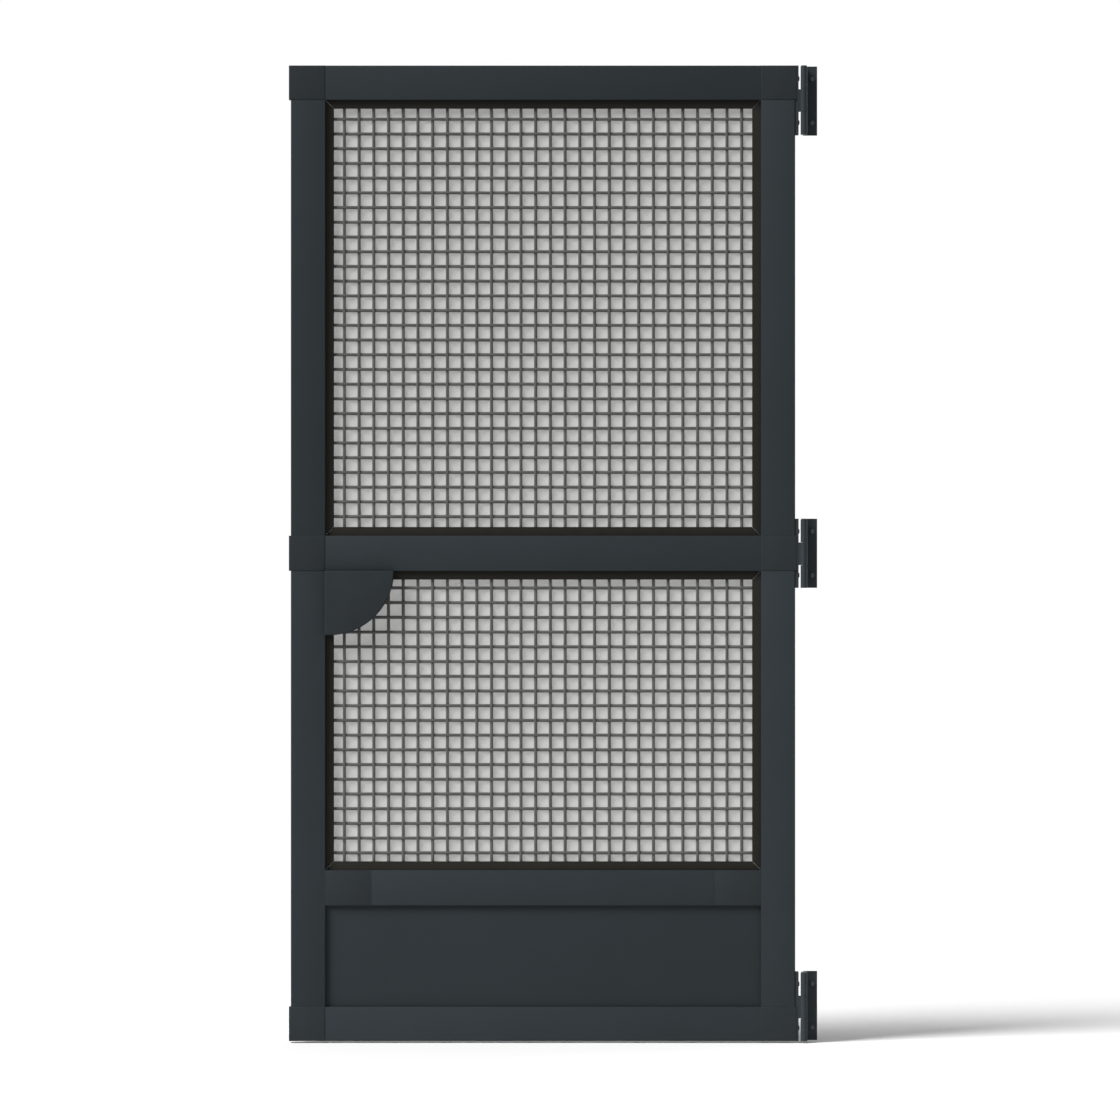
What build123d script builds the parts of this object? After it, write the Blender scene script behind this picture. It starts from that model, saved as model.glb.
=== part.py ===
from build123d import *
import os

# Leaf: x runs from its left edge, y from the wall plane (the room side is negative), z from its foot
stile_length = 894.0
opening_width = 894.0
kick_opening_height = 208.0
wall_gap = 4.0

# Hollow extrusion, with one retaining groove along its inner edge or one along each edge
profile_width = 70.0
cross_rail_height = 72.0
profile_depth = 26.0
profile_wall = 1.8
profile_corner_radius = 2.0
outer_margin = 11.8
main_chamber = 44.4
groove_depth = 12.0
groove_width = 11.0

# Connectors
block_proud_side = 4.0
block_proud_face = 1.0
block_edge_chamfer = 1.0
tenon_length = 84.0
tenon_clearance = 0.2
tenon_wall = 3.0
tenon_tip_chamfer = 2.5
tee_arm_length = 95.0
tee_spigot_length = 60.0
tee_tongue_reach = 11.0
tee_tongue_clearance = 0.4
tee_flange_thickness = 2.5
tee_flange_width = 43.0
tee_flange_height = 142.0
tee_flange_stub = 10.0
tee_flange_lap = 30.0

# Retaining strips, wire grids and gauze
strip_visible = 18.0
strip_thickness = 4.0
strip_tongue = 10.0
strip_clearance = 0.3
mitre_gap = 0.2
wire_pitch = 30.2
wire_step = 3
wire_size = 5.5
wire_edge_space = 8.0
grid_lap = 9.0
gauze_thickness = 0.8
gauze_reach = 9.0

# Kick plate: a tray with returned edges and stiffening ribs on its back
plate_reach = 10.0
plate_skin = 2.0
plate_rim = 2.0
plate_rib_count = 4
plate_rib_width = 3.0

# Quarter-round handle plates
handle_radius = 132.0
handle_strip = 9.0
handle_wall = 3.0
handle_stand = 14.0
handle_lip = 8.0
handle_edge_chamfer = 1.2
soft_gap = 0.3

# Hinges
hinge_height = 142.0
hinge_width = 42.0
hinge_plate = 3.0
hinge_plate_margin = 1.0
knuckle_radius = 7.0
knuckle_count = 3
knuckle_gap = 0.4
knuckle_relief = 1.5
axis_offset = 14.0
pin_radius = 3.5
pin_clearance = 0.05
pin_head_radius = 6.0
pin_head_height = 2.0
screw_radius = 2.75
screw_spacing = 90.0
screw_offset = 31.5

# Places that follow from the sizes above
block_width = profile_width + block_proud_side
leaf_width = opening_width + 2 * block_width
leaf_height = 2 * profile_width + 2 * stile_length + cross_rail_height
front = -(wall_gap + profile_depth)
back = -wall_gap
mid_foot = profile_width + stile_length
mid_head = mid_foot + cross_rail_height
top_foot = mid_head + stile_length
lower_foot = profile_width + kick_opening_height
lower_head = lower_foot + cross_rail_height
groove_front = front + (profile_depth - groove_width) / 2
groove_back = groove_front + groove_width
tenon_width = main_chamber - 2 * tenon_clearance
tenon_depth = profile_depth - 2 * (profile_wall + tenon_clearance)
chamber_middle = outer_margin + main_chamber / 2
strip_front = groove_front + strip_clearance
strip_back = strip_front + strip_thickness
grid_back = strip_back + wire_size
gauze_back = grid_back + gauze_thickness
axis_x = leaf_width + axis_offset
axis_y = front
origin_x = leaf_width + screw_offset
origin_z = hinge_height / 2
middle = (front + back) / 2
left_to_right = Plane.YZ.offset(leaf_width / 2)


def block(x0, x1, y0, y1, z0, z1):
    """A box between two corners."""
    return Pos(x0, y0, z0) * Box(x1 - x0, y1 - y0, z1 - z0, align=(Align.MIN, Align.MIN, Align.MIN))


def patch(s0, s1, d0, d1):
    """A rectangle of a section: s runs across the bar, d from its front face to its back face."""
    return Pos(s0, d0) * Rectangle(s1 - s0, d1 - d0, align=(Align.MIN, Align.MIN))


def groove_cuts(mouth, root):
    """The retaining groove between its mouth and its root, and the hollows in its two lips."""
    low, high = sorted((mouth, root))
    lip = (profile_depth - groove_width) / 2
    lip_wall = profile_wall if mouth > root else -profile_wall
    inner = sorted((root, mouth - lip_wall))
    hollow = patch(inner[0], inner[1], profile_wall, lip - profile_wall)
    far = patch(inner[0], inner[1], profile_depth - lip + profile_wall, profile_depth - profile_wall)
    return patch(low, high, lip, lip + groove_width) + hollow + far


def chamber(s0, s1):
    """A closed hollow of the section, one wall in from both faces."""
    return patch(s0, s1, profile_wall, profile_depth - profile_wall)


def edge_section():
    """The section of stiles and of the top and bottom rails, with its groove on the inner edge."""
    body = patch(0, profile_width, 0, profile_depth)
    body = fillet(body.vertices().sort_by(Axis.X)[:2], profile_corner_radius)
    cuts = chamber(profile_wall, outer_margin - profile_wall)
    cuts += chamber(outer_margin, outer_margin + main_chamber)
    return body - cuts - groove_cuts(profile_width, profile_width - groove_depth)


def cross_section():
    """The section of the middle and lower rails, with a groove on both edges."""
    body = patch(0, cross_rail_height, 0, profile_depth)
    margin = (cross_rail_height - main_chamber) / 2
    body -= chamber(margin, margin + main_chamber)
    body -= groove_cuts(0, groove_depth)
    return body - groove_cuts(cross_rail_height, cross_rail_height - groove_depth)


def stile(foot):
    """A left stile length that stands at the given height."""
    return Pos(block_proud_side, front, foot) * extrude(edge_section(), stile_length)


def top_rail():
    """The top rail, its groove downwards."""
    return Pos(block_width, front, leaf_height) * Rot(0, 90, 0) * extrude(edge_section(), opening_width)


def cross_rail(foot, start, length):
    """A rail with two grooves that begins at the given place."""
    bar = Rot(0, 90, 0) * extrude(cross_section(), length)
    return Pos(start, front, foot + cross_rail_height) * bar


def tenon(length):
    """A hollow tenon that stands on z = 0, with a middle web and an eased tip."""
    outer = Box(tenon_width, tenon_depth, length, align=(Align.CENTER, Align.CENTER, Align.MIN))
    outer = chamfer(outer.faces().sort_by(Axis.Z)[-1].edges(), tenon_tip_chamfer)
    cell = (tenon_width - 3 * tenon_wall) / 2
    for side in (-1, 1):
        hollow = Box(cell, tenon_depth - 2 * tenon_wall, length, align=(Align.CENTER, Align.CENTER, Align.MIN))
        outer -= Pos(side * (cell + tenon_wall) / 2, 0, tenon_wall) * hollow
    return outer


def connector_block(height, foot):
    """The visible block of a connector, a little proud of the bars that it joins."""
    body = block(0, block_width, front - block_proud_face, back + block_proud_face, foot, foot + height)
    faces = body.faces().sort_by(Axis.Y)
    return chamfer(faces[0].edges() + faces[-1].edges(), block_edge_chamfer)


def corner():
    """The bottom left corner connector."""
    body = connector_block(profile_width, 0)
    upright = Pos(block_proud_side + chamber_middle, middle, profile_width) * tenon(tenon_length)
    across = Pos(block_width, middle, chamber_middle) * Rot(0, 90, 0) * tenon(tenon_length)
    return body + upright + across


def mid_tee():
    """The left middle connector, with tenons up, down and inwards."""
    body = connector_block(cross_rail_height, mid_foot)
    x = block_proud_side + chamber_middle
    upper = Pos(x, middle, mid_head) * tenon(tenon_length)
    lower = Pos(x, middle, mid_foot) * Rot(180, 0, 0) * tenon(tenon_length)
    across = Pos(block_width, middle, (mid_foot + mid_head) / 2) * Rot(0, 90, 0) * tenon(tenon_length)
    return body + upper + lower + across


def lower_tee():
    """The left lower connector: an arm with the rail's grooves, a spigot, a tongue and a back flange."""
    arm_end = block_width + tee_arm_length
    arm = block(block_width, arm_end, front, back, lower_foot, lower_head)
    for low in (lower_foot, lower_head - groove_depth):
        arm -= block(block_width, arm_end, groove_front, groove_back, low, low + groove_depth)
    centre = (lower_foot + lower_head) / 2
    spigot = Pos(arm_end, middle, centre) * Rot(0, 90, 0) * tenon(tee_spigot_length)
    slack = tee_tongue_clearance
    tongue = block(block_width - tee_tongue_reach, block_width, groove_front + slack, groove_back - slack,
                   lower_foot + slack, lower_head - slack)
    outer = block_width - tee_flange_width
    flange = block(outer - tee_flange_stub, block_width + tee_flange_lap, back, back + tee_flange_thickness,
                   lower_foot, lower_head)
    flange += block(outer, block_width, back, back + tee_flange_thickness,
                    centre - tee_flange_height / 2, centre + tee_flange_height / 2)
    return arm + spigot + tongue + flange


def strip(length):
    """A bottom strip on z = 0: a tongue in the groove below and a mitred flange above."""
    tongue = block(mitre_gap, length - mitre_gap, strip_front, grid_back - strip_clearance, -strip_tongue, 0)
    ends = [(mitre_gap, 0), (length - mitre_gap, 0), (length - mitre_gap - strip_visible, strip_visible),
            (mitre_gap + strip_visible, strip_visible)]
    face = Plane.XZ * make_face(Polyline(*ends, close=True))
    flange = Pos(0, strip_back, 0) * extrude(face, strip_thickness)
    return tongue + flange


def strips(foot, height):
    """The four strips of an opening, by side."""
    bottom = Pos(block_width, 0, foot) * strip(opening_width)
    right = Pos(block_width + opening_width, 0, foot) * Rot(0, -90, 0) * strip(height)
    return {
        "bottom": bottom,
        "top": mirror(bottom, Plane.XY.offset(foot + height / 2)),
        "right": right,
        "left": mirror(right, left_to_right),
    }


def notched(width, height, reach):
    """An upright outline that reaches into the four grooves and leaves out the corners between them."""
    wide = Rectangle(width + 2 * reach, height - 2 * mitre_gap)
    tall = Rectangle(width - 2 * mitre_gap, height + 2 * reach)
    return Plane.XZ * (wide + tall)


def wire_places(opening):
    """The modelled wires across an opening, from its middle: every third one of those that show in it."""
    cells = int((opening - 2 * (strip_visible + wire_edge_space)) // wire_pitch)
    return [(i - cells / 2) * wire_pitch for i in range(0, cells + 1, wire_step)]


def grid(foot, height):
    """A wire grid whose ends lie behind the strips, fused where the wires cross."""
    width = opening_width - 2 * (strip_visible - grid_lap)
    tall = height - 2 * (strip_visible - grid_lap)
    columns = [Pos(x, 0) * Rectangle(wire_size, tall) for x in wire_places(opening_width)]
    rows = [Pos(0, z) * Rectangle(width, wire_size) for z in wire_places(height)]
    face = Plane.XZ * (Sketch() + columns + rows)
    return Pos(leaf_width / 2, grid_back, foot + height / 2) * extrude(face, wire_size)


def gauze(foot, height):
    """A fine screen behind the grid, its edges held in the grooves."""
    face = notched(opening_width, height, gauze_reach)
    return Pos(leaf_width / 2, gauze_back, foot + height / 2) * extrude(face, gauze_thickness)


def kick_plate():
    """A tray whose edges sit in the grooves, open at the back, with upright ribs."""
    depth = groove_width - 2 * strip_clearance
    skin_back = groove_front + strip_clearance + plate_skin
    outer = notched(opening_width, kick_opening_height, plate_reach)
    centre = Pos(leaf_width / 2, 0, profile_width + kick_opening_height / 2)
    tray = centre * Pos(0, groove_back - strip_clearance, 0) * extrude(outer, depth)
    pocket = offset(outer, -plate_rim)
    tray -= centre * Pos(0, groove_back - strip_clearance, 0) * extrude(pocket, depth - plate_skin)
    spacing = opening_width / (plate_rib_count + 1)
    for i in range(plate_rib_count):
        x = block_width + (i + 1) * spacing
        tray += block(x - plate_rib_width / 2, x + plate_rib_width / 2, skin_back, groove_back - strip_clearance,
                      profile_width, profile_width + kick_opening_height)
    return tray


def handle(outer_y, rim_y):
    """A quarter-round plate in the top left corner of the lower opening, its rims run back to the strips."""
    reach = handle_strip + handle_radius
    tips = [(0, 0), (reach, 0), (handle_strip, -handle_radius), (0, -handle_radius)]
    edge = Line(tips[0], tips[1])
    edge += RadiusArc(tips[1], tips[2], handle_radius)
    edge += Polyline(tips[2], tips[3], tips[0])
    outline = make_face(edge)
    inner = handle_radius - handle_wall
    arc_lip = outline - Pos(handle_strip, 0) * Circle(inner)
    arc_lip -= patch(0, handle_strip, -inner, 0)
    rims = patch(0, handle_wall, -handle_radius, 0) + patch(0, reach, -handle_wall, 0)
    inwards = 1 if rim_y > outer_y else -1
    parts = [(outline, handle_wall), (arc_lip, handle_lip), (rims & outline, abs(rim_y - outer_y))]
    body = Part()
    for face, depth in parts:
        body += extrude(Plane.XZ * face, -inwards * depth)
    body = chamfer(body.faces().sort_by(Axis.Y)[0 if inwards > 0 else -1].edges(), handle_edge_chamfer)
    return Pos(block_width, outer_y, mid_foot) * body


def knuckles(first):
    """Every second span of the hinge barrel from the given one, each with its low and high ends."""
    stack = hinge_height - pin_head_height
    span = (stack - (knuckle_count - 1) * knuckle_gap) / knuckle_count
    for i in range(first, knuckle_count, 2):
        low = i * (span + knuckle_gap)
        yield low, low + span


def barrel(radius, low, high):
    """A round solid about the hinge axis."""
    return Pos(axis_x, axis_y, low) * Cylinder(radius, high - low, align=(Align.CENTER, Align.CENTER, Align.MIN))


def jamb_leaf():
    """The fixed leaf: a flange on the wall plane, a leg behind the barrel and the outer knuckles."""
    half = hinge_plate / 2
    leg_front = axis_y + knuckle_radius + knuckle_relief
    body = block(axis_x - half, leaf_width + hinge_width, -hinge_plate, 0, 0, hinge_height)
    body += block(axis_x - half, axis_x + half, leg_front, -half, 0, hinge_height)
    for low, high in knuckles(0):
        body += block(axis_x - half, axis_x + half, axis_y, leg_front, low, high)
        body += barrel(knuckle_radius, low, high)
        body -= barrel(pin_radius + pin_clearance, low, high)
    for side in (-1, 1):
        centre = Pos(origin_x, -hinge_plate / 2, hinge_height / 2 + side * screw_spacing / 2)
        body -= centre * Rot(90, 0, 0) * Cylinder(screw_radius, 2 * hinge_plate)
    return body


def door_leaf(pad_spans):
    """The moving leaf: a plate on the leaf's edge, packed out where the stile lies back, and its knuckles."""
    half = hinge_plate / 2
    body = block(leaf_width, leaf_width + hinge_plate, axis_y - half, back - hinge_plate_margin, 0, hinge_height)
    for low, high in pad_spans:
        body += block(leaf_width - block_proud_side, leaf_width, front + profile_corner_radius,
                      back - profile_corner_radius, low, high)
    for low, high in knuckles(1):
        body += block(leaf_width, axis_x, axis_y - half, axis_y + half, low, high)
        body += barrel(knuckle_radius, low, high)
        body -= barrel(pin_radius + pin_clearance, low, high)
    return body


def hinge_pin():
    """The pin, its flat head on the top knuckle."""
    return barrel(pin_radius, 0, hinge_height) + barrel(pin_head_radius, hinge_height - pin_head_height, hinge_height)


def hinges():
    """The nine hinge pieces by node name."""
    centre = hinge_height / 2
    half_tee = cross_rail_height / 2
    places = {
        "top": (leaf_height - hinge_height, [(0, hinge_height - profile_width)]),
        "mid": ((mid_foot + mid_head) / 2 - centre, [(0, centre - half_tee), (centre + half_tee, hinge_height)]),
        "bottom": (0, [(profile_width, hinge_height)]),
    }
    pieces = {}
    for name, (foot, pads) in places.items():
        pieces[f"hinge_{name}_jamb_leaf"] = Pos(0, 0, foot) * jamb_leaf()
        pieces[f"hinge_{name}_door_leaf"] = Pos(0, 0, foot) * door_leaf(pads)
        pieces[f"hinge_{name}_pin"] = Pos(0, 0, foot) * hinge_pin()
    return pieces


def both_sides(name, piece):
    """A left piece and its mirror image on the right."""
    return {f"{name}_left": piece, f"{name}_right": mirror(piece, left_to_right)}


def nodes():
    """Every piece of the door by node name."""
    foot_corner = corner()
    upside_down = Plane.XY.offset(leaf_height / 2)
    lower_height = mid_foot - lower_head
    pieces = both_sides("corner_bottom", foot_corner) | both_sides("corner_top", mirror(foot_corner, upside_down))
    pieces |= both_sides("mid_tee", mid_tee()) | both_sides("lower_tee", lower_tee())
    pieces |= both_sides("stile_lower", stile(profile_width)) | both_sides("stile_upper", stile(mid_head))
    pieces["rail_top"] = top_rail()
    pieces["rail_bottom"] = mirror(top_rail(), upside_down)
    pieces["rail_mid"] = cross_rail(mid_foot, block_width, opening_width)
    pieces["rail_lower"] = cross_rail(lower_foot, block_width + tee_arm_length, opening_width - 2 * tee_arm_length)
    pieces["kick_plate"] = kick_plate()
    for name, foot, height in (("upper", mid_head, stile_length), ("lower", lower_head, lower_height)):
        for side, piece in strips(foot, height).items():
            pieces[f"strip_{name}_{side}"] = piece
        pieces[f"grid_{name}"] = grid(foot, height)
        pieces[f"gauze_{name}"] = gauze(foot, height)
    pieces["handle_front"] = handle(front - handle_stand, strip_front)
    pieces["handle_back"] = handle(back + handle_stand, gauze_back + soft_gap)
    return pieces | hinges()


os.makedirs("parts", exist_ok=True)
for node, piece in nodes().items():
    export_step(Pos(-origin_x, 0, -origin_z) * piece, f"parts/{node}.step")
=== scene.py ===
import logging
import math
from dataclasses import dataclass, field
from enum import Enum
from typing import Any, Callable, Optional, Sequence, Union

import bmesh
import bpy
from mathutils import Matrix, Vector


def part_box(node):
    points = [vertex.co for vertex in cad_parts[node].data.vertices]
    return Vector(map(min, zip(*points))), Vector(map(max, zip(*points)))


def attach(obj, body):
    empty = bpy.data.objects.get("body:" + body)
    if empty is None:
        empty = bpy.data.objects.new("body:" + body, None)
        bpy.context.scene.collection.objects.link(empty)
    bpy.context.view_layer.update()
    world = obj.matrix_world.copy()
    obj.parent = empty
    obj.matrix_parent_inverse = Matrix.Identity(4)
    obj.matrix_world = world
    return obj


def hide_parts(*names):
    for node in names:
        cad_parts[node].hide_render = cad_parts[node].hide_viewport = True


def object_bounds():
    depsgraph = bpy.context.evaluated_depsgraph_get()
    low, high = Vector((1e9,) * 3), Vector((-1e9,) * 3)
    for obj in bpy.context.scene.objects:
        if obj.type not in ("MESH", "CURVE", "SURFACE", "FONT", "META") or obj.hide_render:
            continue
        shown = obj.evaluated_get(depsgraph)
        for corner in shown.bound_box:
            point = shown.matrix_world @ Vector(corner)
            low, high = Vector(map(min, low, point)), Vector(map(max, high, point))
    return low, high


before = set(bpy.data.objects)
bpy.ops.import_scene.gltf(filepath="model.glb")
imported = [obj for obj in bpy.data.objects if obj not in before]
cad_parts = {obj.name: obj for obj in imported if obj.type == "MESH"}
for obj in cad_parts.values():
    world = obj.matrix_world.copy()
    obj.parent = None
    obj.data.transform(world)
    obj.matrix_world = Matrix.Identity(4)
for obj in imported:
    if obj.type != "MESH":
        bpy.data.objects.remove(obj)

LOG = logging.getLogger("screen_door")
CAD_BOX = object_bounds()
MM = 0.001

Number = Union[int, float]
Pair = tuple[float, float]
Triple = tuple[float, float, float]
Colour = Triple

WHITE: Colour = (1.0, 1.0, 1.0)

# Up to these angles, neighbouring faces of new pieces and of rounded copies are shaded as one.
SMOOTH_ANGLE = math.radians(40)
ROUNDED_SMOOTH_ANGLE = math.radians(24)

# The places of a Mix node's colour sockets.
MIX_SHARE, MIX_FIRST, MIX_SECOND, MIX_RESULT = 0, 6, 7, 2


class Slot(Enum):
    """The record's material slots of the door's pieces."""

    PROFILE = "profile"
    PLATE = "plate"
    CONNECTOR = "connector"
    STRIP = "strip"
    WIRE = "wire"
    GAUZE = "gauze"
    HANDLE = "handle"
    HINGE = "hinge"
    PIN = "pin"


class Body(Enum):
    """The two bodies of the door."""

    JAMB = "jamb"
    DOOR = "door"


class Run(Enum):
    """The way that a set of grid wires runs."""

    UPRIGHT = "uprights"
    CROSSWISE = "crosswires"


def srgb(red: Number, green: Number, blue: Number) -> Colour:
    """A display colour, given from 0 to 255, as linear values.

    Args:
        red: The red level.
        green: The green level.
        blue: The blue level.

    Returns:
        The linear colour.
    """
    levels = (channel / 255 for channel in (red, green, blue))
    # The sRGB standard's own curve.
    return tuple(c / 12.92 if c <= 0.04045 else ((c + 0.055) / 1.055) ** 2.4 for c in levels)


def scaled(colour: Colour, share: float) -> Colour:
    """A colour made darker or lighter by one share.

    Args:
        colour: The linear colour.
        share: What each channel is multiplied by.

    Returns:
        The new colour.
    """
    return tuple(channel * share for channel in colour)


class Measure:
    """A number that varies over a surface, held as a socket of a material's nodes."""

    def __init__(self, nodes: "Nodes", socket: bpy.types.NodeSocket) -> None:
        """Wrap a socket.

        Args:
            nodes: The node tree that the socket belongs to.
            socket: The output socket that carries the number.
        """
        self.nodes = nodes
        self.socket = socket

    def _math(self, operation: str, *others: Union["Measure", Number]) -> "Measure":
        """Add a Math node.

        Args:
            operation: The Math node's operation.
            others: The operands, in socket order.

        Returns:
            The node's result.
        """
        links = {place: other for place, other in enumerate(others)}
        made = self.nodes.node("ShaderNodeMath", {"operation": operation}, links)
        return Measure(self.nodes, made.outputs[0])

    def __add__(self, other: Union["Measure", Number]) -> "Measure":
        """The sum."""
        return self._math("ADD", self, other)

    __radd__ = __add__

    def __mul__(self, other: Union["Measure", Number]) -> "Measure":
        """The product."""
        return self._math("MULTIPLY", self, other)

    __rmul__ = __mul__

    def __sub__(self, other: Union["Measure", Number]) -> "Measure":
        """The difference."""
        return self._math("SUBTRACT", self, other)

    def __rsub__(self, other: Number) -> "Measure":
        """A number less this one."""
        return self._math("SUBTRACT", other, self)

    def __pow__(self, other: Number) -> "Measure":
        """This number raised to a power."""
        return self._math("POWER", self, other)

    def cosine(self) -> "Measure":
        """The cosine of the number, taken in radians."""
        return self._math("COSINE", self)

    def crests(self, pitch: float) -> "Measure":
        """A wave between 0 and 1 that is 1 at every multiple of a pitch."""
        return 0.5 + 0.5 * (self * (2 * math.pi / pitch)).cosine()

    def troughs(self, pitch: float) -> "Measure":
        """A wave between 0 and 1 that is 0 at every multiple of a pitch."""
        return 0.5 - 0.5 * (self * (2 * math.pi / pitch)).cosine()

    def larger(self, other: "Measure") -> "Measure":
        """The larger of two numbers."""
        return self._math("MAXIMUM", self, other)

    def clamped(self) -> "Measure":
        """The number held between 0 and 1."""
        return self._math("MINIMUM", self._math("MAXIMUM", self, 0.0), 1.0)


class Nodes:
    """The node tree of one material or world, with one method that adds any node."""

    def __init__(self, tree: bpy.types.NodeTree) -> None:
        """Clear a tree and hold it.

        Args:
            tree: The node tree to fill.
        """
        self.tree = tree
        tree.nodes.clear()

    def node(
        self,
        kind: str,
        settings: Optional[dict[str, Any]] = None,
        sockets: Optional[dict[Union[str, int], Any]] = None,
    ) -> bpy.types.Node:
        """Add a node.

        Args:
            kind: The node's type.
            settings: Properties that are set before the sockets.
            sockets: Values, measures or sockets by the input's name or place.

        Returns:
            The new node.
        """
        made = self.tree.nodes.new(kind)
        for name, value in (settings or {}).items():
            setattr(made, name, value)
        for name, value in (sockets or {}).items():
            entry = made.inputs[name]
            source = value.socket if isinstance(value, Measure) else value
            if isinstance(source, bpy.types.NodeSocket):
                self.tree.links.new(source, entry)
            elif isinstance(source, tuple) and len(source) == 3 and len(entry.default_value) == 4:
                entry.default_value = (*source, 1.0)
            else:
                entry.default_value = source
        return made

    def place(self) -> tuple[Measure, Measure, Measure, bpy.types.NodeSocket]:
        """The point on the piece, in metres.

        Returns:
            Its three coordinates and the whole vector's socket.
        """
        point = self.node("ShaderNodeTexCoord").outputs["Object"]
        parts = self.node("ShaderNodeSeparateXYZ", None, {0: point})
        return (*(Measure(self, parts.outputs[axis]) for axis in range(3)), point)

    def noise(self, size: float, detail: float = 2.0, stretch: Triple = (1.0, 1.0, 1.0)) -> Measure:
        """Soft random variation from 0 to 1.

        Args:
            size: The width of its blotches in metres.
            detail: How many finer layers it has.
            stretch: How much it is drawn out along each axis.

        Returns:
            The variation.
        """
        point = self.place()[3]
        shrink = tuple(1 / (size * share) for share in stretch)
        drawn = self.node("ShaderNodeVectorMath", {"operation": "MULTIPLY"}, {0: point, 1: shrink})
        sockets = {"Vector": drawn.outputs[0], "Scale": 1.0, "Detail": detail}
        return Measure(self, self.node("ShaderNodeTexNoise", None, sockets).outputs[0])

    def blend(self, share: Union[Measure, float], first: Any, second: Any) -> bpy.types.NodeSocket:
        """Mix two colours.

        Args:
            share: How much of the second colour shows.
            first: The colour at 0.
            second: The colour at 1.

        Returns:
            The mixed colour's socket.
        """
        sockets = {MIX_SHARE: share, MIX_FIRST: first, MIX_SECOND: second}
        return self.node("ShaderNodeMix", {"data_type": "RGBA"}, sockets).outputs[MIX_RESULT]

    def shades(self, share: Measure, colour: Colour, tones: Pair) -> bpy.types.NodeSocket:
        """Let a colour run between two tones of itself.

        Args:
            share: How far it has gone from the first tone to the second.
            colour: The colour.
            tones: What the colour is multiplied by at 0 and at 1.

        Returns:
            The varied colour's socket.
        """
        return self.blend(share, *(scaled(colour, tone) for tone in tones))

    def bump(self, height: Measure, depth: float = 1.0) -> bpy.types.NodeSocket:
        """A surface normal that follows a height.

        Args:
            height: The height, in metres where no depth is given.
            depth: What a height of 1 stands for, in metres.

        Returns:
            The normal's socket.
        """
        made = self.node("ShaderNodeBump", None, {"Height": height, "Distance": depth, "Strength": 1.0})
        return made.outputs[0]

    def surface(self, **sockets: Any) -> None:
        """Add the main shader and the output.

        Args:
            sockets: Values or links of the shader's inputs, with underscores for spaces.
        """
        named = {name.replace("_", " "): value for name, value in sockets.items()}
        shader = self.node("ShaderNodeBsdfPrincipled", None, named)
        self.node("ShaderNodeOutputMaterial", None, {"Surface": shader.outputs[0]})


class Finish:
    """A surface finish that becomes one material."""

    title: str = "finish"

    def paint(self, nodes: Nodes) -> None:
        """Fill the material's nodes.

        Args:
            nodes: The tree to fill.
        """
        raise NotImplementedError

    def material(self) -> bpy.types.Material:
        """The material, made once for each title.

        Returns:
            The material.
        """
        found = bpy.data.materials.get(self.title)
        if found is None:
            found = bpy.data.materials.new(self.title)
            found.use_nodes = True
            self.paint(Nodes(found.node_tree))
        return found


@dataclass(frozen=True)
class PowderCoat(Finish):
    """Matt powder coat: a fine pebbled skin with faint cloudy changes of tone."""

    title: str = "powder_coat"
    colour: Colour = srgb(38, 44, 47)
    pebble: float = 1.3 * MM
    pebble_depth: float = 0.13 * MM
    pebble_tones: Pair = (0.8, 1.2)
    pebble_gloss: float = 0.1
    pebble_share: float = 0.35
    cloud: float = 180 * MM
    cloud_tones: Pair = (0.86, 1.14)
    cloud_gloss: float = 0.12
    roughness: float = 0.55
    reflectance: float = 0.12

    def paint(self, nodes: Nodes) -> None:
        """Fill the material's nodes.

        Args:
            nodes: The tree to fill.
        """
        cloud = nodes.noise(self.cloud, detail=3.0)
        speck = nodes.noise(self.pebble, detail=3.0)
        broad = nodes.shades(cloud, self.colour, self.cloud_tones)
        fine = nodes.shades(speck, self.colour, self.pebble_tones)
        nodes.surface(
            Base_Color=nodes.blend(self.pebble_share, broad, fine),
            Roughness=self.roughness + self.cloud_gloss * (cloud - 0.5) + self.pebble_gloss * (speck - 0.5),
            Specular_IOR_Level=self.reflectance,
            Normal=nodes.bump(speck, self.pebble_depth),
        )


@dataclass(frozen=True)
class Moulding(Finish):
    """Grained plastic moulding: an eroded texture with slightly polished high spots."""

    title: str = "grained_moulding"
    # Painted shade: a little darker than the powder coat, to offset the extra light that the handle plates in
    # front of the door take; the connectors share it.
    colour: Colour = srgb(35, 40, 43)
    tones: Pair = (0.88, 1.12)
    grain: float = 0.9 * MM
    grain_depth: float = 0.12 * MM
    grain_gloss: float = 0.16
    flow: float = 60 * MM
    flow_stretch: Triple = (1.0, 1.0, 2.5)
    flow_gloss: float = 0.06
    roughness: float = 0.5
    reflectance: float = 0.13

    def paint(self, nodes: Nodes) -> None:
        """Fill the material's nodes.

        Args:
            nodes: The tree to fill.
        """
        grain = nodes.noise(self.grain, detail=4.0)
        flow = nodes.noise(self.flow, stretch=self.flow_stretch)
        nodes.surface(
            Base_Color=nodes.shades(flow, self.colour, self.tones),
            Roughness=self.roughness + self.grain_gloss * (grain - 0.5) + self.flow_gloss * (flow - 0.5),
            Specular_IOR_Level=self.reflectance,
            Normal=nodes.bump(grain, self.grain_depth),
        )


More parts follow.
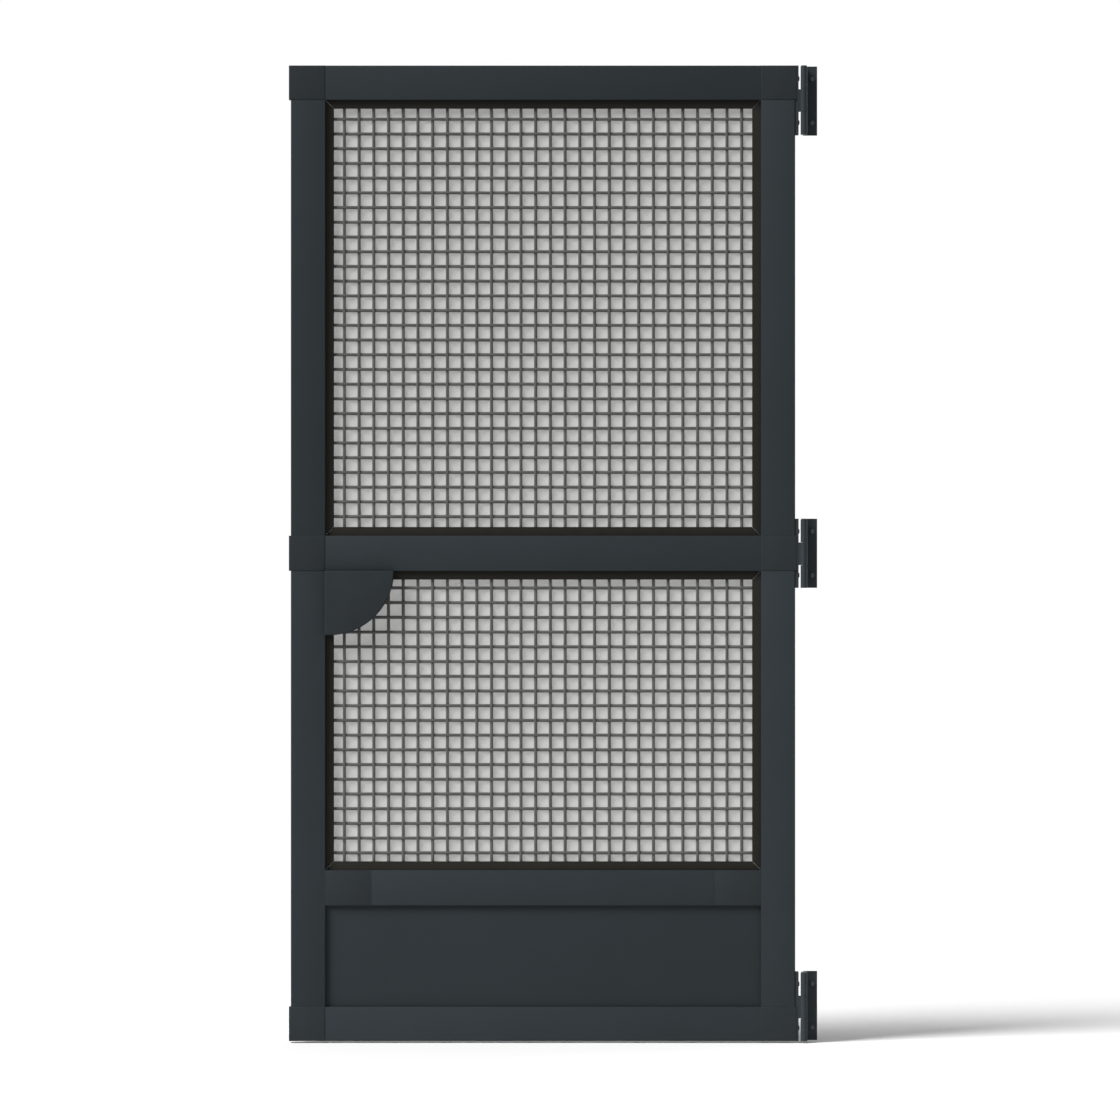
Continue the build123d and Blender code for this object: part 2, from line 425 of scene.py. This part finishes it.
@dataclass(frozen=True)
class SoftExtrusion(Finish):
    """Black soft extrusion: faint die lines along each strip and a bloom of dust."""

    title: str = "soft_extrusion"
    colour: Colour = srgb(31, 30, 27)
    tones: Pair = (0.8, 1.25)
    line: float = 0.7 * MM
    line_depth: float = 0.05 * MM
    line_stretch: float = 400.0
    bloom: float = 25 * MM
    bloom_gloss: float = 0.15
    roughness: float = 0.62
    reflectance: float = 0.08

    def paint(self, nodes: Nodes) -> None:
        """Fill the material's nodes.

        Args:
            nodes: The tree to fill.
        """
        along = nodes.noise(self.line, detail=1.0, stretch=(self.line_stretch, 1.0, 1.0))
        upright = nodes.noise(self.line, detail=1.0, stretch=(1.0, 1.0, self.line_stretch))
        bloom = nodes.noise(self.bloom, detail=3.0)
        # The two sets of lines multiplied, and doubled to bring their mean back to a half.
        lines = along * upright * 2
        nodes.surface(
            Base_Color=nodes.shades(bloom, self.colour, self.tones),
            Roughness=self.roughness + self.bloom_gloss * (bloom - 0.5),
            Specular_IOR_Level=self.reflectance,
            Normal=nodes.bump(lines, self.line_depth),
        )


@dataclass(frozen=True)
class CoatedWire(Finish):
    """Dark grey coated wire with a slightly uneven plastic skin."""

    title: str = "coated_wire"
    colour: Colour = srgb(82, 82, 80)
    tones: Pair = (0.75, 1.25)
    patch: float = 90 * MM
    ripple: float = 2.5 * MM
    ripple_depth: float = 0.12 * MM
    ripple_gloss: float = 0.2
    roughness: float = 0.5
    reflectance: float = 0.15

    def paint(self, nodes: Nodes) -> None:
        """Fill the material's nodes.

        Args:
            nodes: The tree to fill.
        """
        ripple = nodes.noise(self.ripple, detail=3.0)
        patch = nodes.noise(self.patch)
        nodes.surface(
            Base_Color=nodes.shades(0.5 * (ripple + patch), self.colour, self.tones),
            Roughness=self.roughness + self.ripple_gloss * (ripple - 0.5),
            Specular_IOR_Level=self.reflectance,
            Normal=nodes.bump(ripple, self.ripple_depth),
        )


@dataclass(frozen=True)
class WovenGauze(Finish):
    """Fine grey insect screen: woven threads, see-through holes, and a soft dish between the grid's wires."""

    title: str = "woven_gauze"
    colour: Colour = srgb(163, 163, 160)
    tones: Pair = (0.9, 1.08)
    pitch: float = 1.4 * MM
    hole_cover: float = 0.52
    thread_cover: float = 1.0
    thread_crest: int = 3
    thread_depth: float = 0.15 * MM
    cell: float = 30.2 * MM
    cell_depth: float = 2.4 * MM
    wire_across: float = 0.0
    wire_up: float = 0.0
    slub: float = 40 * MM
    slub_cover: float = 0.06
    slub_gloss: float = 0.1
    roughness: float = 0.8
    reflectance: float = 0.15

    def paint(self, nodes: Nodes) -> None:
        """Fill the material's nodes.

        Args:
            nodes: The tree to fill.
        """
        across, _, up, _ = nodes.place()
        warp, weft = across.crests(self.pitch), up.crests(self.pitch)
        thread = (warp ** self.thread_crest).larger(weft ** self.thread_crest)
        slub = nodes.noise(self.slub, detail=3.0)
        cover = self.hole_cover + (self.thread_cover - self.hole_cover) * thread
        wide = (across - self.wire_across).troughs(self.cell)
        tall = (up - self.wire_up).troughs(self.cell)
        relief = self.thread_depth * thread - self.cell_depth * (wide * tall) ** 0.5
        nodes.surface(
            Base_Color=nodes.shades(slub, self.colour, self.tones),
            Roughness=self.roughness + self.slub_gloss * (slub - 0.5),
            Specular_IOR_Level=self.reflectance,
            Alpha=(cover + self.slub_cover * (slub - 0.5)).clamped(),
            Normal=nodes.bump(relief),
        )


@dataclass(frozen=True)
class DarkSteel(Finish):
    """Blackened steel of pins and screws, brushed round by its turning."""

    title: str = "dark_steel"
    colour: Colour = srgb(62, 65, 68)
    tones: Pair = (0.75, 1.2)
    scratch: float = 0.5 * MM
    scratch_depth: float = 0.02 * MM
    scratch_stretch: Triple = (1.0, 1.0, 0.3)
    scratch_gloss: float = 0.2
    stain: float = 12 * MM
    stain_gloss: float = 0.1
    metallic: float = 0.6
    roughness: float = 0.42

    def paint(self, nodes: Nodes) -> None:
        """Fill the material's nodes.

        Args:
            nodes: The tree to fill.
        """
        scratch = nodes.noise(self.scratch, detail=3.0, stretch=self.scratch_stretch)
        stain = nodes.noise(self.stain)
        nodes.surface(
            Base_Color=nodes.shades(stain, self.colour, self.tones),
            Metallic=self.metallic,
            Roughness=(
                self.roughness + self.scratch_gloss * (scratch - 0.5) + self.stain_gloss * (stain - 0.5)
            ),
            Normal=nodes.bump(scratch, self.scratch_depth),
        )


@dataclass(frozen=True)
class PaleFloor(Finish):
    """White studio floor that takes the door's shadow and runs out into the white background."""

    title: str = "pale_floor"
    colour: Colour = (0.75, 0.75, 0.75)
    tones: Pair = (0.985, 1.015)
    mottle: float = 0.35
    full_radius: float = 0.9
    edge_radius: float = 2.6
    middle: Pair = (0.0, 0.0)

    def paint(self, nodes: Nodes) -> None:
        """Fill the material's nodes.

        Args:
            nodes: The tree to fill.
        """
        across, back, _, _ = nodes.place()
        from_middle = ((across - self.middle[0]) ** 2 + (back - self.middle[1]) ** 2) ** 0.5
        fade = ((from_middle - self.full_radius) * (1 / (self.edge_radius - self.full_radius))).clamped()
        colour = nodes.shades(nodes.noise(self.mottle), self.colour, self.tones)
        paint = nodes.node("ShaderNodeBsdfDiffuse", None, {"Color": colour})
        paper = nodes.node("ShaderNodeEmission", None, {"Color": WHITE, "Strength": 1.0})
        mixed = nodes.node("ShaderNodeMixShader", None, {0: fade, 1: paint.outputs[0], 2: paper.outputs[0]})
        nodes.node("ShaderNodeOutputMaterial", None, {"Surface": mixed.outputs[0]})


@dataclass
class Surface:
    """Points and faces that are gathered before they become one piece."""

    points: list[Vector] = field(default_factory=list)
    faces: list[tuple[int, ...]] = field(default_factory=list)

    def loft(self, rings: Sequence[Sequence[Vector]]) -> None:
        """Add a tube through rings of points, with a flat face at each end.

        Args:
            rings: The rings, each with as many points.
        """
        start, count = len(self.points), len(rings[0])
        for ring in rings:
            self.points.extend(ring)
        for row in range(len(rings) - 1):
            low = start + row * count
            for i in range(count):
                j = (i + 1) % count
                self.faces.append((low + i, low + j, low + count + j, low + count + i))
        self.faces.append(tuple(range(start + count - 1, start - 1, -1)))
        self.faces.append(tuple(range(len(self.points) - count, len(self.points))))

    def piece(self, name: str) -> bpy.types.Object:
        """Make the piece.

        Args:
            name: The piece's name.

        Returns:
            The new object.
        """
        mesh = bpy.data.meshes.new(name)
        mesh.from_pydata([tuple(point) for point in self.points], [], self.faces)
        edit = bmesh.new()
        edit.from_mesh(mesh)
        bmesh.ops.recalc_face_normals(edit, faces=edit.faces)
        edit.to_mesh(mesh)
        edit.free()
        return placed(name, mesh, SMOOTH_ANGLE)


def placed(name: str, mesh: bpy.types.Mesh, smooth: float) -> bpy.types.Object:
    """Put a mesh into the scene as an object.

    Args:
        name: The object's name.
        mesh: Its mesh.
        smooth: The angle up to which neighbouring faces are shaded as one.

    Returns:
        The new object.
    """
    mesh.shade_smooth()
    mesh.set_sharp_from_angle(angle=smooth)
    made = bpy.data.objects.new(name, mesh)
    bpy.context.scene.collection.objects.link(made)
    return made


def dress(piece: bpy.types.Object, finish: Finish) -> None:
    """Give a piece one finish all over.

    Args:
        piece: The object to dress.
        finish: The finish that it takes.
    """
    piece.data.materials.clear()
    piece.data.materials.append(finish.material())


def seat(piece: bpy.types.Object, body: Body, finish: Finish) -> bpy.types.Object:
    """Finish a new piece: its body and its material.

    Args:
        piece: The object.
        body: The body that it moves with.
        finish: The finish that it takes.

    Returns:
        The same object.
    """
    dress(piece, finish)
    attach(piece, body.value)
    LOG.info("%s rides on %s, %d faces", piece.name, body.value, len(piece.data.polygons))
    return piece


# The limits that eased() works within.
SAME_POINT = 0.002 * MM
FLAT_ANGLE = math.radians(1)
SHARP_ANGLE = math.radians(32)
ROUNDED_POINT = 0.01 * MM
SLIVER = 0.005 * MM


def eased(
    node: str,
    name: str,
    radius: float,
    segments: int = 3,
    kept: Optional[Callable[[Vector], bool]] = None,
) -> bpy.types.Object:
    """A copy of a solid with its sharp edges rounded.

    Args:
        node: The solid's node.
        name: The new piece's name.
        radius: The width of the rounding.
        segments: How many faces each rounding has.
        kept: Says of an edge's middle whether that edge stays sharp.

    Returns:
        The new object, which stands for the node.
    """
    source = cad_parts[node]
    edit = bmesh.new()
    edit.from_mesh(source.data)
    bmesh.ops.remove_doubles(edit, verts=edit.verts, dist=SAME_POINT)
    bmesh.ops.dissolve_limit(edit, angle_limit=FLAT_ANGLE, verts=edit.verts, edges=edit.edges)
    sharp = [e for e in edit.edges if e.is_manifold and e.calc_face_angle() > SHARP_ANGLE]
    if kept:
        sharp = [e for e in sharp if not kept((e.verts[0].co + e.verts[1].co) / 2)]
    bmesh.ops.bevel(edit, geom=sharp, offset=radius, segments=segments, profile=0.5, affect="EDGES",
                    clamp_overlap=True)
    # Rounding leaves slivers where edges of unlike length meet; without them the copy stays watertight.
    bmesh.ops.remove_doubles(edit, verts=edit.verts, dist=ROUNDED_POINT)
    bmesh.ops.dissolve_degenerate(edit, dist=SLIVER, edges=edit.edges)
    mesh = bpy.data.meshes.new(name)
    edit.to_mesh(mesh)
    edit.free()
    made = placed(name, mesh, ROUNDED_SMOOTH_ANGLE)
    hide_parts(node)
    return made


@dataclass
class Bars:
    """The stiles and rails: extruded profiles under powder coat."""

    nodes: Sequence[str] = (
        "stile_upper_left", "stile_upper_right", "stile_lower_left", "stile_lower_right",
        "rail_top", "rail_mid", "rail_lower", "rail_bottom",
    )
    edge: float = 0.5 * MM
    finish: PowderCoat = PowderCoat()

    def build(self) -> None:
        """Ease the profiles' edges and dress them."""
        for node in self.nodes:
            seat(eased(node, f"{node}_coated", self.edge), Body.DOOR, self.finish)


@dataclass
class Connectors:
    """The moulded corner, middle and lower connectors."""

    kinds: Sequence[str] = ("corner_top", "corner_bottom", "mid_tee", "lower_tee")
    edge: float = 0.6 * MM
    finish: Moulding = Moulding()

    def build(self) -> None:
        """Ease the connectors' edges and dress them."""
        for kind in self.kinds:
            for side in ("left", "right"):
                piece = eased(f"{kind}_{side}", f"{kind}_{side}_moulding", self.edge)
                seat(piece, Body.DOOR, self.finish)


@dataclass
class Retainers:
    """The black strips that hold each screen in its grooves."""

    panels: Sequence[str] = ("upper", "lower")
    edge: float = 1.1 * MM
    segments: int = 4
    finish: SoftExtrusion = SoftExtrusion()

    def build(self) -> None:
        """Round the strips' edges and dress them."""
        for panel in self.panels:
            for side in ("left", "right", "top", "bottom"):
                node = f"strip_{panel}_{side}"
                piece = eased(node, f"{node}_soft", self.edge, self.segments)
                seat(piece, Body.DOOR, self.finish)


@dataclass
class KickPlate:
    """The plain panel between the lower and the bottom rail."""

    edge: float = 0.6 * MM
    # Painted shade: this copy of the powder coat is a little darker than the frames' own, to offset the extra
    # light that falls on the plate.
    finish: PowderCoat = PowderCoat(
        title="plate_coat_darkened_for_light", colour=srgb(35, 41, 44), cloud=260 * MM, pebble=1.1 * MM
    )

    def build(self) -> None:
        """Ease the plate's edges and dress it."""
        seat(eased("kick_plate", "kick_plate_coated", self.edge), Body.DOOR, self.finish)


@dataclass
class WireGrid:
    """One panel's grid: crimped wires that pass over and under each other."""

    panel: str
    pitch: float = 30.2 * MM
    end_run: float = 17 * MM
    wire_width: float = 6.3 * MM
    wire_thickness: float = 2.7 * MM
    sides: int = 8
    steps: int = 4
    finish: CoatedWire = CoatedWire()

    def __post_init__(self) -> None:
        """Read the panel's place from its solid."""
        self.node = f"grid_{self.panel}"
        self.low, self.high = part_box(self.node)
        self.middle = (self.low + self.high) / 2
        self.lift = (self.high.y - self.low.y - self.wire_thickness) / 2

    def places(self, axis: int) -> list[float]:
        """Where the wires lie along an axis.

        Args:
            axis: 0 for across, 2 for up.

        Returns:
            The wires' places, lowest first.
        """
        span = self.high[axis] - self.low[axis] - 2 * self.end_run
        count = 1 + int(span // self.pitch)
        return [self.middle[axis] + (i - (count - 1) / 2) * self.pitch for i in range(count)]

    def wire(self, made: Surface, run: Run, place: float, first: float, flip: int) -> None:
        """Add one crimped wire.

        Args:
            made: The surface that gathers the wires.
            run: The way that the wire runs.
            place: Where it lies across its run.
            first: Where the first wire that it crosses lies.
            flip: 1 if it passes in front of that wire, or -1 behind.
        """
        axis = 2 if run is Run.UPRIGHT else 0
        side = Vector((1, 0, 0)) if axis == 2 else Vector((0, 0, 1))
        low, high = self.low[axis], self.high[axis]
        step = self.pitch / self.steps
        # No ring stands so near to an end that it would make a thin face there.
        nearest = step / 3
        inner = [first + i * step for i in range(-self.steps, int((high - first) / step) + self.steps)]
        stops = [low] + [s for s in inner if low + nearest < s < high - nearest] + [high]
        rings = []
        for stop in stops:
            angle = math.pi * (stop - first) / self.pitch
            depth = self.middle.y - flip * self.lift * math.cos(angle)
            slope = flip * self.lift * math.sin(angle) * math.pi / self.pitch
            centre = side * place + Vector((0, depth, 0))
            centre[axis] = stop
            along = Vector((0, slope, 0))
            along[axis] = 1
            normal = side.cross(along).normalized()
            rings.append([
                centre
                + side * (self.wire_width / 2 * math.cos(2 * math.pi * i / self.sides))
                + normal * (self.wire_thickness / 2 * math.sin(2 * math.pi * i / self.sides))
                for i in range(self.sides)
            ])
        made.loft(rings)

    def build(self) -> None:
        """Weave the two sets of wires."""
        columns, rows = self.places(0), self.places(2)
        sets = ((Run.UPRIGHT, columns, rows[0], 1), (Run.CROSSWISE, rows, columns[0], -1))
        for run, own, first, front in sets:
            made = Surface()
            for i, place in enumerate(own):
                self.wire(made, run, place, first, front if i % 2 == 0 else -front)
            piece = seat(made.piece(f"{self.node}_{run.value}"), Body.DOOR, self.finish)
            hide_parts(self.node)


@dataclass
class Gauze:
    """One panel's fine screen, stretched behind the grid and dished a little in each of its cells."""

    panel: str
    reach: float = 9 * MM  # how far it goes into each groove
    held: float = 27 * MM  # how far in from its edges the strips hold it
    rest: float = 0.3 * MM  # how far it lies in front of its solid's middle
    dish: float = 0.6 * MM  # how far it falls back in the middle of a cell
    steps: int = 6

    def __post_init__(self) -> None:
        """Read the panel's place from its solid, and its wires and finish from the grid before it."""
        self.node = f"gauze_{self.panel}"
        self.low, self.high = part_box(self.node)
        self.grid = WireGrid(self.panel)
        across, up = self.grid.places(0)[0], self.grid.places(2)[0]
        self.finish = WovenGauze(title=f"woven_gauze_{self.panel}", wire_across=across, wire_up=up)

    def stops(self, axis: int) -> list[tuple[float, float]]:
        """Where the cloth's faces begin and end along an axis, and how far it may dish there.

        Args:
            axis: 0 for across, 2 for up.

        Returns:
            The stops, each with its share of the dish: 0 at a wire or strip, 1 midway between two.
        """
        low, high = self.low[axis], self.high[axis]
        ties = [low + self.held] + self.grid.places(axis) + [high - self.held]
        found = [(low, 0.0), (low + self.reach, 0.0)]
        for start, end in zip(ties, ties[1:]):
            for i in range(self.steps):
                found.append((start + (end - start) * i / self.steps, math.sin(math.pi * i / self.steps)))
        return found + [(ties[-1], 0.0), (high - self.reach, 0.0), (high, 0.0)]

    def build(self) -> None:
        """Stretch the cloth, without the four corners that no groove holds."""
        across, up = self.stops(0), self.stops(2)
        front = (self.low.y + self.high.y) / 2 - self.rest
        made = Surface()
        for z, tall in up:
            for x, wide in across:
                made.points.append(Vector((x, front + self.dish * wide * tall, z)))
        columns, rows = len(across) - 1, len(up) - 1
        for j in range(rows):
            for i in range(columns):
                if i in (0, columns - 1) and j in (0, rows - 1):
                    continue
                start = j * (columns + 1) + i
                made.faces.append((start, start + 1, start + columns + 2, start + columns + 1))
        piece = seat(made.piece(f"{self.node}_cloth"), Body.DOOR, self.finish)
        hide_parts(self.node)


@dataclass
class CornerHandle:
    """A quarter-round handle plate in the corner under the middle rail."""

    side: str
    edge: float = 0.8 * MM
    finish: Moulding = Moulding()

    def build(self) -> None:
        """Ease the plate's edges and dress it."""
        node = f"handle_{self.side}"
        seat(eased(node, f"{node}_moulding", self.edge), Body.DOOR, self.finish)


@dataclass(frozen=True)
class Screw:
    """A pan-head screw with a hexagon socket."""

    head_radius: float = 5.0 * MM
    head_height: float = 2.4 * MM
    rim_share: float = 0.45
    crown_share: float = 1.3
    dome_steps: int = 4
    shank_radius: float = 2.4 * MM
    shank_length: float = 2.8 * MM
    point_radius_share: float = 0.8
    point_length_share: float = 0.85
    socket_radius: float = 1.9 * MM
    socket_depth: float = 1.3 * MM
    socket_floor_share: float = 0.92
    socket_corners: int = 6
    spokes: int = 24

    def ring(
        self, seat_point: Vector, way: Vector, height: float, radius: float, corners: int = 0
    ) -> list[Vector]:
        """One ring of points about the screw's axis.

        Args:
            seat_point: The middle of the head's underside.
            way: The direction out of the head.
            height: The ring's height over the head's underside.
            radius: Its radius, to the flats where it has corners.
            corners: How many corners it has, or 0 for a round ring.

        Returns:
            The ring's points.
        """
        side = way.orthogonal().normalized()
        other = way.cross(side)
        middle = seat_point + way * height
        points = []
        for spoke in range(self.spokes):
            angle = 2 * math.pi * spoke / self.spokes
            reach = radius
            if corners:
                sector = 2 * math.pi / corners
                reach = radius / math.cos(angle % sector - sector / 2)
            points.append(middle + reach * (math.cos(angle) * side + math.sin(angle) * other))
        return points

    def add(self, made: Surface, seat_point: Vector, way: Vector) -> None:
        """Add the screw to a piece.

        Args:
            made: The surface that gathers the screws.
            seat_point: The middle of the head's underside.
            way: The direction out of the head.
        """
        rim = self.rim_share * self.head_height
        crown = self.socket_radius * self.crown_share
        profile = [
            (-self.shank_length, self.point_radius_share * self.shank_radius, 0),
            (-self.point_length_share * self.shank_length, self.shank_radius, 0),
            (0, self.shank_radius, 0),
            (0, self.head_radius, 0),
            (rim, self.head_radius, 0),
        ]
        for step in range(1, self.dome_steps + 1):
            turn = math.pi / 2 * step / (self.dome_steps + 1)
            height = rim + (self.head_height - rim) * math.sin(turn)
            profile.append((height, crown + (self.head_radius - crown) * math.cos(turn), 0))
        bottom = self.head_height - self.socket_depth
        profile.append((self.head_height, self.socket_radius, self.socket_corners))
        profile.append((bottom, self.socket_floor_share * self.socket_radius, self.socket_corners))
        made.loft([self.ring(seat_point, way, *part) for part in profile])


@dataclass
class TeeScrews:
    """The low screws that hold each lower connector's flange to its stile."""

    side: str
    spacing: float = 100 * MM
    inset: float = 21 * MM
    screw: Screw = Screw(head_height=1.3 * MM, head_radius=4.5 * MM, socket_depth=0.7 * MM)
    steel: DarkSteel = DarkSteel()

    def build(self) -> None:
        """Set one screw above and one below the rail on the flange's back."""
        node = f"lower_tee_{self.side}"
        low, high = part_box(node)
        outer = low.x if self.side == "left" else high.x
        inwards = 1 if self.side == "left" else -1
        made = Surface()
        for way in (-1, 1):
            height = (low.z + high.z) / 2 + way * self.spacing / 2
            self.screw.add(made, Vector((outer + inwards * self.inset, high.y, height)), Vector((0, 1, 0)))
        seat(made.piece(f"{node}_screws"), Body.DOOR, self.steel)


@dataclass
class Hinge:
    """One butt hinge: two leaves that share a barrel, its pin and its screws."""

    height: str
    edge: float = 0.35 * MM
    segments: int = 2
    screw_spacing: float = 90 * MM
    jamb_plate: float = 3 * MM
    plate_out: float = 7 * MM
    hole_inset: float = 10.5 * MM
    hole_rim: float = 3.2 * MM
    door_screw_inset: float = 9 * MM
    # Painted light: this copy of the powder coat is lighter than the frames' own, to offset the shade the
    # barrel casts on the leaves.
    coat: PowderCoat = PowderCoat(
        title="hinge_coat_lightened_for_shade", colour=srgb(43, 49, 52), pebble=0.7 * MM, cloud=40 * MM, roughness=0.5
    )
    steel: DarkSteel = DarkSteel()
    screw: Screw = Screw()

    def screws(self) -> None:
        """Drive two screws through each leaf."""
        low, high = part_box(f"hinge_{self.height}_jamb_leaf")
        door_low, door_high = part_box(f"hinge_{self.height}_door_leaf")
        plate_face = door_low.x + self.plate_out
        fixed, moving = Surface(), Surface()
        for way in (-1, 1):
            z = (low.z + high.z) / 2 + way * self.screw_spacing / 2
            hole = Vector((high.x - self.hole_inset, high.y - self.jamb_plate, z))
            self.screw.add(fixed, hole, Vector((0, -1, 0)))
            side = Vector((plate_face, door_high.y - self.door_screw_inset, z))
            self.screw.add(moving, side, Vector((1, 0, 0)))
        for made, body in ((fixed, Body.JAMB), (moving, Body.DOOR)):
            seat(made.piece(f"hinge_{self.height}_{body.value}_screws"), body, self.steel)

    def at_hole(self, point: Vector) -> bool:
        """Whether a point lies on the rim of a screw hole in the fixed leaf.

        Args:
            point: The point.

        Returns:
            True where it is on such a rim.
        """
        low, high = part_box(f"hinge_{self.height}_jamb_leaf")
        across = point.x - (high.x - self.hole_inset)
        up = abs(point.z - (low.z + high.z) / 2) - self.screw_spacing / 2
        # Both faces of the plate count, and nothing further in front.
        return math.hypot(across, up) < self.hole_rim and point.y > high.y - 2 * self.jamb_plate

    def build(self) -> None:
        """Ease and dress the leaves and the pin."""
        for part, body, slot, finish in (
            ("jamb_leaf", Body.JAMB, Slot.HINGE, self.coat),
            ("door_leaf", Body.DOOR, Slot.HINGE, self.coat),
            ("pin", Body.JAMB, Slot.PIN, self.steel),
        ):
            node = f"hinge_{self.height}_{part}"
            piece = eased(node, f"{node}_finished", self.edge, self.segments, self.at_hole)
            seat(piece, body, finish)
        self.screws()


@dataclass
class Studio:
    """The camera, the lamps, the white background and the floor."""

    # The picture's width and the places that the door's outline has in it, in pixels.
    image: int = 1120
    door_top: float = 64.9
    door_foot: float = 1041.6
    door_left: float = 291.2
    door_right: float = 815.3
    lens: float = 200.0
    sensor: float = 36.0
    farthest: float = 100.0
    floor_gap: float = 4 * MM
    floor_rings: int = 12
    floor_spokes: int = 64
    ambient: float = 0.34
    sun: float = 5.0
    sun_width: float = 0.45
    sun_way: Triple = (1.7, 1.0, -1.7)
    fill: float = 1.3
    fill_width: float = 1.2
    fill_way: Triple = (-0.6, -1.0, -0.35)

    def camera(self) -> None:
        """Set the camera square to the door, so that it fills the drawing's own height."""
        low, high = CAD_BOX
        scale = (high[2] - low[2]) / (self.door_foot - self.door_top)
        centre_x = (low[0] + high[0]) / 2 + (self.image / 2 - (self.door_left + self.door_right) / 2) * scale
        centre_z = (low[2] + high[2]) / 2 - (self.image / 2 - (self.door_top + self.door_foot) / 2) * scale
        data = bpy.data.cameras.new("camera")
        data.lens, data.sensor_width, data.sensor_fit = self.lens, self.sensor, "HORIZONTAL"
        data.clip_end = self.farthest
        away = self.image * scale * self.lens / self.sensor
        made = bpy.data.objects.new("camera", data)
        made.location = (centre_x, low[1] - away, centre_z)
        made.rotation_euler = (math.pi / 2, 0, 0)
        bpy.context.scene.collection.objects.link(made)
        bpy.context.scene.camera = made

    def lamp(self, name: str, energy: float, width: float, way: Sequence[float]) -> None:
        """Add one sun.

        Args:
            name: The lamp's name.
            energy: Its strength.
            width: How wide its disc looks, in radians.
            way: The direction that its light goes in.
        """
        data = bpy.data.lights.new(name, "SUN")
        data.energy, data.angle = energy, width
        made = bpy.data.objects.new(name, data)
        made.rotation_euler = Vector(way).to_track_quat("-Z", "Y").to_euler()
        bpy.context.scene.collection.objects.link(made)

    def light(self) -> None:
        """Add a soft key from the upper left, a broad fill from behind and an even white sky."""
        self.lamp("key", self.sun, self.sun_width, self.sun_way)
        self.lamp("fill", self.fill, self.fill_width, self.fill_way)
        world = bpy.data.worlds.new("white_room")
        world.use_nodes = True
        nodes = Nodes(world.node_tree)
        ray = nodes.node("ShaderNodeLightPath").outputs
        seen = Measure(nodes, ray["Is Camera Ray"]).larger(Measure(nodes, ray["Is Glossy Ray"]))
        seen = seen.larger(Measure(nodes, ray["Is Transmission Ray"]))
        strength = self.ambient + (1 - self.ambient) * seen
        sky = nodes.node("ShaderNodeBackground", None, {"Color": WHITE, "Strength": strength})
        nodes.node("ShaderNodeOutputWorld", None, {"Surface": sky.outputs[0]})
        bpy.context.scene.world = world

    def floor(self) -> None:
        """Lay the floor just under the door."""
        low, high = CAD_BOX
        middle = ((low[0] + high[0]) / 2, (low[1] + high[1]) / 2)
        finish = PaleFloor(middle=middle)
        rings, spokes = self.floor_rings, self.floor_spokes
        made = Surface([Vector((*middle, low[2] - self.floor_gap))])
        for ring in range(1, rings + 1):
            radius = finish.edge_radius * ring / rings
            for spoke in range(spokes):
                angle = 2 * math.pi * spoke / spokes
                offset = Vector((radius * math.cos(angle), radius * math.sin(angle), 0))
                made.points.append(made.points[0] + offset)
        for spoke in range(spokes):
            following = (spoke + 1) % spokes
            made.faces.append((0, 1 + spoke, 1 + following))
            for ring in range(rings - 1):
                inner = 1 + ring * spokes
                outer = inner + spokes
                made.faces.append((inner + spoke, outer + spoke, outer + following, inner + following))
        sheet = made.piece("floor")
        dress(sheet, finish)


def main() -> None:
    """Build the door's pieces in order and light them."""
    logging.basicConfig(level=logging.INFO, format="%(message)s")
    bpy.context.scene.view_settings.view_transform = "Standard"
    studio = Studio()
    studio.camera()
    studio.light()
    studio.floor()
    Bars().build()
    Connectors().build()
    KickPlate().build()
    for panel in ("upper", "lower"):
        WireGrid(panel).build()
        Gauze(panel).build()
    Retainers().build()
    for side in ("front", "back"):
        CornerHandle(side).build()
    for side in ("left", "right"):
        TeeScrews(side).build()
    for height in ("top", "mid", "bottom"):
        Hinge(height).build()


if __name__ == "__main__":
    main()
